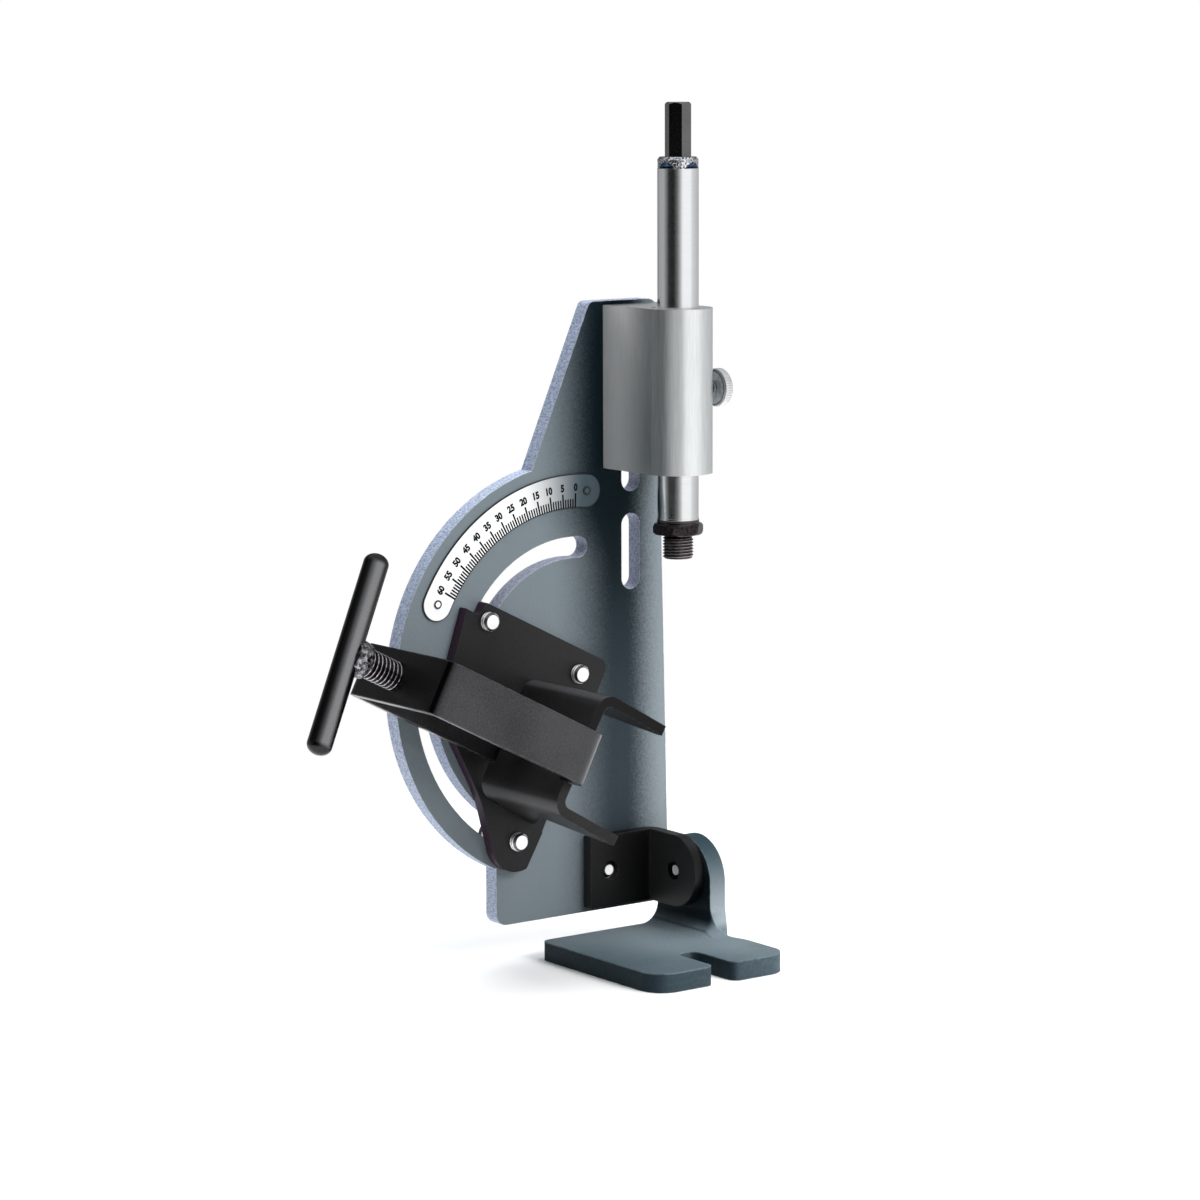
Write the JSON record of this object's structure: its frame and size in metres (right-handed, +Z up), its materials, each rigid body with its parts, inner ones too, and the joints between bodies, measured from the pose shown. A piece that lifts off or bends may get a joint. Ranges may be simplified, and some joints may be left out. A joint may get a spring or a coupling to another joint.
{
  "type": "tube notcher",
  "caption": "Tube notcher for a hole saw: slotted mast plate with angle scale, bearing block with sliding spindle, swinging V-jaw clamp and hinged foot.",
  "frame": {"origin": "on the spindle's axis, at the surface that the foot stands on", "axes": "+X to the right along the mast plate, seen from the clamp's side; +Y from the clamp's side to the back of the plate; +Z up along the spindle"},
  "size_m": [0.211, 0.098, 0.355],
  "materials": {
    "powder_coat": "textured",
    "satin_black": "satin",
    "zinc": "satin",
    "scale_metal": "satin",
    "block_metal": "brushed",
    "bronze": "satin",
    "bright_steel": "polished",
    "black_oxide": "satin",
    "dark_steel": "satin"
  },
  "bodies": {
    "foot": {"foot": "powder_coat"},
    "bracket": {"hinge_bracket": "satin_black", "hinge_bolt": "zinc", "hinge_washer": "zinc", "bracket_bolt": "zinc", "bracket_washer": "zinc"},
    "mast": {"mast_plate": "powder_coat", "angle_scale": "scale_metal", "scale_rivets": "scale_metal"},
    "block": {"bearing_block": "block_metal", "upper_bush": "bronze", "lower_bush": "bronze", "block_bolts": "zinc", "block_washers": "zinc"},
    "thumb_screw": {"thumb_screw": "zinc"},
    "thrust": {"thrust_washer": "black_oxide"},
    "spindle": {"spindle_shaft": "bright_steel", "drive_shank": "black_oxide", "arbor": "black_oxide"},
    "clamp": {"clamp_plate": "satin_black", "pivot_bolt": "zinc", "angle_bolts": "zinc", "clamp_washers": "zinc", "v_jaw": "satin_black"},
    "screw": {"clamp_screw": "dark_steel", "handle_bar": "satin_black", "handle_weld": "dark_steel"},
    "strap": {"strap": "satin_black"}
  },
  "joints": [
    {"name": "tilt_hinge", "type": "hinge", "parent": "foot", "child": "bracket", "pos_m": [0.011, 0.0112, 0.0335], "axis": [1, 0, 0], "range_deg": [-8, 45]},
    {"name": "mast_swivel", "type": "hinge", "parent": "bracket", "child": "mast", "pos_m": [-0.0146, 0.0325, 0.0335], "axis": [0, 1, 0], "range_deg": [-10, 10]},
    {"name": "block_slide", "type": "slide", "parent": "mast", "child": "block", "axis": [0, 0, 1], "range_m": [-0.0195, 0]},
    {"name": "thumb_turn", "type": "hinge", "parent": "block", "child": "thumb_screw", "pos_m": [0.0143, 0, 0.2374], "axis": [1, 0, 0], "range_deg": [-90, 270]},
    {"name": "spindle_feed", "type": "slide", "parent": "block", "child": "thrust", "axis": [0, 0, 1], "range_m": [-0.055, 0.0182]},
    {"name": "spindle_turn", "type": "hinge", "parent": "thrust", "child": "spindle", "pos_m": [0, 0, 0.1834], "axis": [0, 0, 1], "continuous": true},
    {"name": "clamp_swing", "type": "hinge", "parent": "mast", "child": "clamp", "pos_m": [-0.031, 0.0325, 0.119], "axis": [0, 1, 0], "range_deg": [0, 60]},
    {"name": "screw_turn", "type": "hinge", "parent": "clamp", "child": "screw", "pos_m": [-0.07391, 0, 0.09828], "axis": [0.891, 0, -0.454], "range_deg": [-11340, 0]},
    {"name": "strap_slide", "type": "slide", "parent": "clamp", "child": "strap", "axis": [0.891, 0, -0.454], "range_m": [0, 0.064]}
  ],
  "couplings": [
    {"joint": "strap_slide", "follows": "screw_turn", "m_per_rad": -0.00031831}
  ]
}
